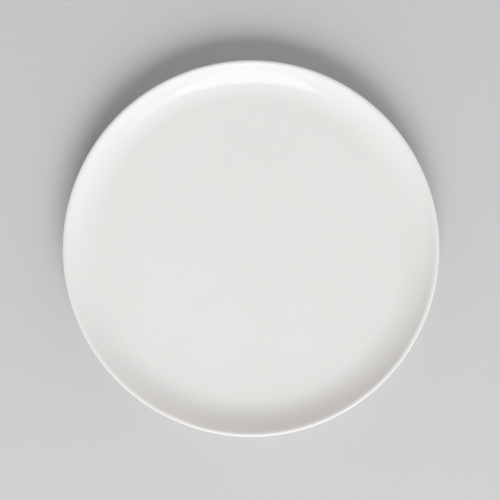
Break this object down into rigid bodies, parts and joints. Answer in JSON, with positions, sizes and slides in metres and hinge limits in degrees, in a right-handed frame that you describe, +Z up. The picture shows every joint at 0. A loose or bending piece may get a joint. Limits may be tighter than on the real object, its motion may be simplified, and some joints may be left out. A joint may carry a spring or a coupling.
{
  "type": "coupe dinner plate",
  "caption": "Round coupe dinner plate: a flat floor that curves up to a rounded lip, on a bare foot ring, in white glazed porcelain, for serving food.",
  "frame": {"origin": "middle of the plate on the surface that the foot ring stands on", "axes": "+Z up along the axis that the plate is turned about; +X and +Y across the plate, both alike"},
  "size_m": [0.27, 0.27, 0.021],
  "materials": {
    "bare_porcelain": "matte, fired and wiped clean of glaze",
    "white_glaze": "glossy, warm white"
  },
  "bodies": {
    "root": {"porcelain_body": "bare_porcelain", "face_glaze": "white_glaze", "base_glaze": "white_glaze"}
  },
  "joints": []
}
